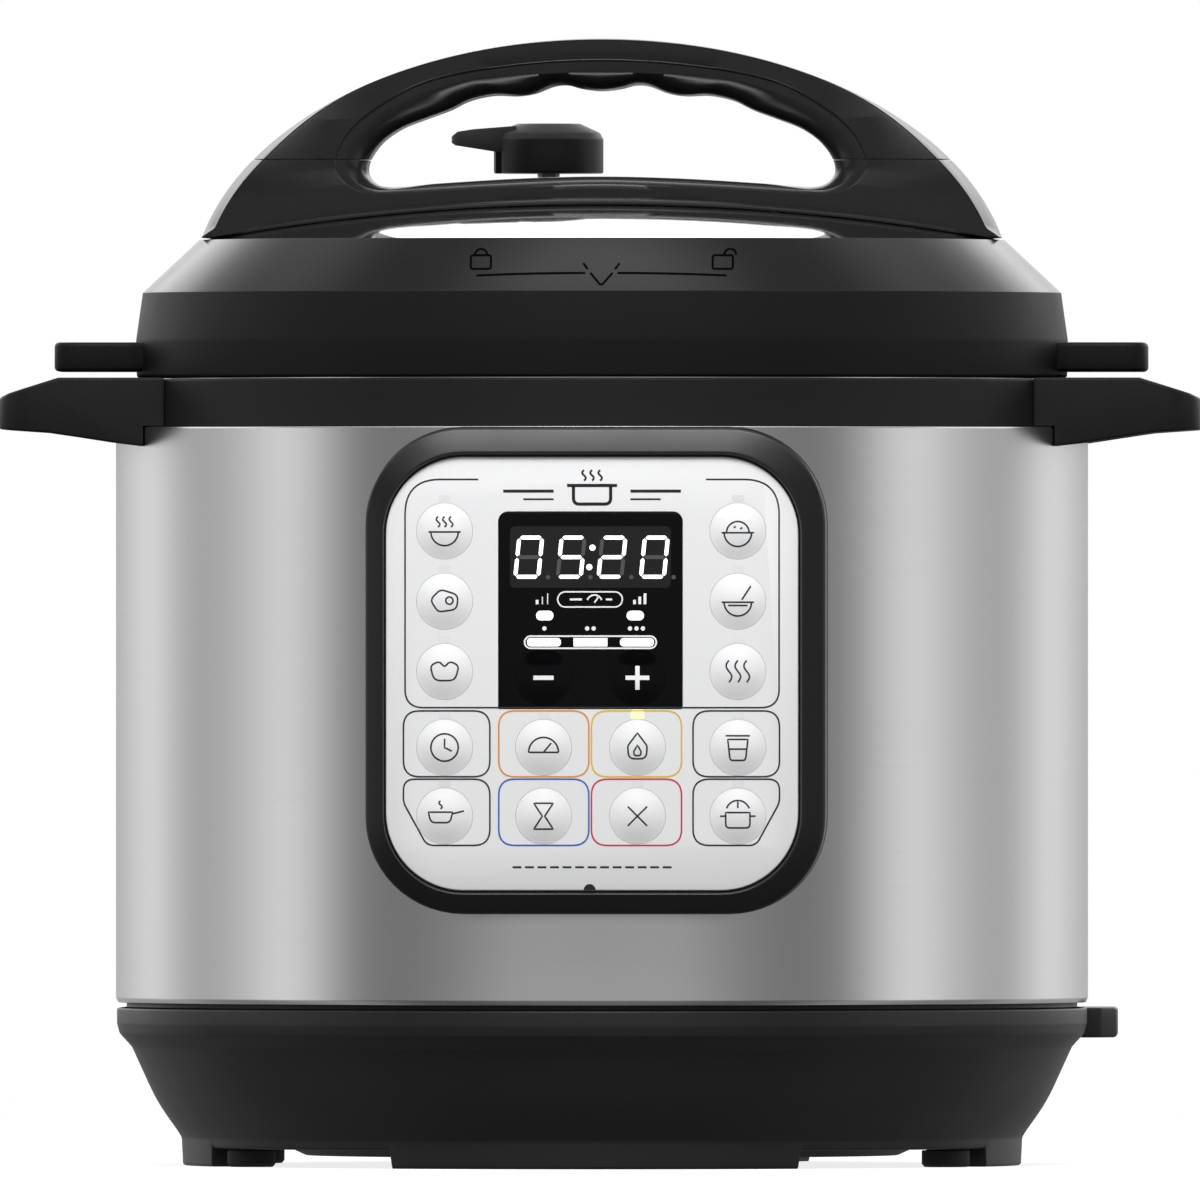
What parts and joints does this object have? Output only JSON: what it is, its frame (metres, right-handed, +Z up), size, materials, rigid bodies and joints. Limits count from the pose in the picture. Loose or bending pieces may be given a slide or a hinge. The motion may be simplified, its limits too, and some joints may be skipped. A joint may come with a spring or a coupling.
{
  "type": "electric pressure cooker",
  "caption": "Countertop electric pressure cooker: steel drum on a black base, side handles, bayonet lid with arched handle, steam valve, removable pot, framed panel with domed keys.",
  "frame": {"origin": "on the table under the pot's axis, at the centre of the object's footprint", "axes": "+Z up; the control panel faces -Y; +X to the viewer's right when facing the panel, along the side handles"},
  "size_m": [0.2994, 0.267, 0.2816],
  "materials": {
    "black_plastic": "satin moulded",
    "drum_steel": "finely brushed round the wall",
    "pot_steel": "brushed inside, polished lip",
    "lid_steel": "mirror polished",
    "hardware_steel": "plain",
    "cast_aluminium": "machined",
    "fascia_silver": "satin silver membrane",
    "display_black": "gloss",
    "silicone": "translucent matte",
    "foot_rubber": "matte",
    "circuit_board": "solder mask",
    "smoked_plastic": "translucent gloss"
  },
  "bodies": {
    "base": {"base_housing": "black_plastic", "bottom_cover": "black_plastic", "foot_front_left": "foot_rubber", "foot_front_right": "foot_rubber", "foot_rear_left": "foot_rubber", "foot_rear_right": "foot_rubber", "power_inlet": "black_plastic", "power_board": "circuit_board", "housing_shell": "drum_steel", "upper_rim": "black_plastic", "left_carry_handle": "black_plastic", "right_carry_handle": "black_plastic", "outer_pot": "hardware_steel", "liner_flange": "hardware_steel", "heating_plate": "cast_aluminium", "heating_element": "cast_aluminium", "sensor_spring": "hardware_steel", "sensor_bracket": "hardware_steel", "pressure_switch": "display_black", "thermal_fuse": "silicone", "panel_frame": "black_plastic", "panel_fascia": "fascia_silver", "display_window": "display_black", "led_display": "display_black", "control_board": "circuit_board", "cup_holder": "black_plastic"},
    "sensor": {"temperature_sensor": "cast_aluminium"},
    "pot": {"inner_pot": "pot_steel"},
    "seal": {"sealing_ring": "silicone"},
    "lid": {"pressure_lid": "lid_steel", "lid_rim": "black_plastic", "handle_base": "black_plastic", "handle_grip": "black_plastic", "handle_screw_left": "hardware_steel", "handle_screw_right": "hardware_steel", "seal_rack": "hardware_steel", "steam_pipe": "hardware_steel", "steam_pipe_nut": "hardware_steel", "anti_block_shield": "hardware_steel"},
    "steam_valve": {"steam_release_handle": "black_plastic"},
    "float_valve": {"float_valve_pin": "hardware_steel", "float_valve_cap": "silicone"},
    "cup": {"condensation_cup": "smoked_plastic"},
    "soup_key": {"button_soup": "fascia_silver"},
    "meat_key": {"button_meat": "fascia_silver"},
    "bean_key": {"button_bean": "fascia_silver"},
    "slow_cook_key": {"button_slow_cook": "fascia_silver"},
    "saute_key": {"button_saute": "fascia_silver"},
    "pressure_level_key": {"button_pressure_level": "fascia_silver"},
    "delay_start_key": {"button_delay_start": "fascia_silver"},
    "keep_warm_key": {"button_keep_warm": "fascia_silver"},
    "cancel_key": {"button_cancel": "fascia_silver"},
    "rice_key": {"button_rice": "fascia_silver"},
    "porridge_key": {"button_porridge": "fascia_silver"},
    "steam_key": {"button_steam": "fascia_silver"},
    "yogurt_key": {"button_yogurt": "fascia_silver"},
    "pressure_cook_key": {"button_pressure_cook": "fascia_silver"},
    "minus_key": {"button_minus": "display_black"},
    "plus_key": {"button_plus": "display_black"}
  },
  "joints": [
    {"name": "inner_pot_lift", "type": "slide", "parent": "base", "child": "pot", "axis": [0, 0, 1], "range_m": [0, 0.14]},
    {"name": "lid_lift", "type": "slide", "parent": "pot", "child": "seal", "axis": [0, 0, 1], "range_m": [0, 0.15]},
    {"name": "lid_twist", "type": "hinge", "parent": "seal", "child": "lid", "pos_m": [0, 0, 0.19], "axis": [0, 0, 1], "range_deg": [0, 30]},
    {"name": "steam_release_turn", "type": "hinge", "parent": "lid", "child": "steam_valve", "pos_m": [-0.0142, 0.044, 0.25], "axis": [0, 0, 1], "range_deg": [-45, 0]},
    {"name": "float_valve_rise", "type": "slide", "parent": "lid", "child": "float_valve", "axis": [0, 0, 1], "range_m": [0, 0.005]},
    {"name": "temperature_sensor_press", "type": "slide", "parent": "base", "child": "sensor", "axis": [0, 0, 1], "range_m": [-0.002, 0], "stiffness_N_per_m": 900, "springref_m": 0.001},
    {"name": "condensation_cup_slide", "type": "slide", "parent": "base", "child": "cup", "axis": [0, 0, -1], "range_m": [0, 0.045]},
    {"name": "soup_press", "type": "slide", "parent": "base", "child": "soup_key", "axis": [0, 1, 0], "range_m": [0, 0.0006], "stiffness_N_per_m": 2200},
    {"name": "meat_press", "type": "slide", "parent": "base", "child": "meat_key", "axis": [0, 1, 0], "range_m": [0, 0.0006], "stiffness_N_per_m": 2200},
    {"name": "bean_press", "type": "slide", "parent": "base", "child": "bean_key", "axis": [0, 1, 0], "range_m": [0, 0.0006], "stiffness_N_per_m": 2200},
    {"name": "slow_cook_press", "type": "slide", "parent": "base", "child": "slow_cook_key", "axis": [0, 1, 0], "range_m": [0, 0.0006], "stiffness_N_per_m": 2200},
    {"name": "saute_press", "type": "slide", "parent": "base", "child": "saute_key", "axis": [0, 1, 0], "range_m": [0, 0.0006], "stiffness_N_per_m": 2200},
    {"name": "pressure_level_press", "type": "slide", "parent": "base", "child": "pressure_level_key", "axis": [0, 1, 0], "range_m": [0, 0.0006], "stiffness_N_per_m": 2200},
    {"name": "delay_start_press", "type": "slide", "parent": "base", "child": "delay_start_key", "axis": [0, 1, 0], "range_m": [0, 0.0006], "stiffness_N_per_m": 2200},
    {"name": "keep_warm_press", "type": "slide", "parent": "base", "child": "keep_warm_key", "axis": [0, 1, 0], "range_m": [0, 0.0006], "stiffness_N_per_m": 2200},
    {"name": "cancel_press", "type": "slide", "parent": "base", "child": "cancel_key", "axis": [0, 1, 0], "range_m": [0, 0.0006], "stiffness_N_per_m": 2200},
    {"name": "rice_press", "type": "slide", "parent": "base", "child": "rice_key", "axis": [0, 1, 0], "range_m": [0, 0.0006], "stiffness_N_per_m": 2200},
    {"name": "porridge_press", "type": "slide", "parent": "base", "child": "porridge_key", "axis": [0, 1, 0], "range_m": [0, 0.0006], "stiffness_N_per_m": 2200},
    {"name": "steam_press", "type": "slide", "parent": "base", "child": "steam_key", "axis": [0, 1, 0], "range_m": [0, 0.0006], "stiffness_N_per_m": 2200},
    {"name": "yogurt_press", "type": "slide", "parent": "base", "child": "yogurt_key", "axis": [0, 1, 0], "range_m": [0, 0.0006], "stiffness_N_per_m": 2200},
    {"name": "pressure_cook_press", "type": "slide", "parent": "base", "child": "pressure_cook_key", "axis": [0, 1, 0], "range_m": [0, 0.0006], "stiffness_N_per_m": 2200},
    {"name": "minus_press", "type": "slide", "parent": "base", "child": "minus_key", "axis": [0, 1, 0], "range_m": [0, 0.0006], "stiffness_N_per_m": 2200},
    {"name": "plus_press", "type": "slide", "parent": "base", "child": "plus_key", "axis": [0, 1, 0], "range_m": [0, 0.0006], "stiffness_N_per_m": 2200}
  ]
}
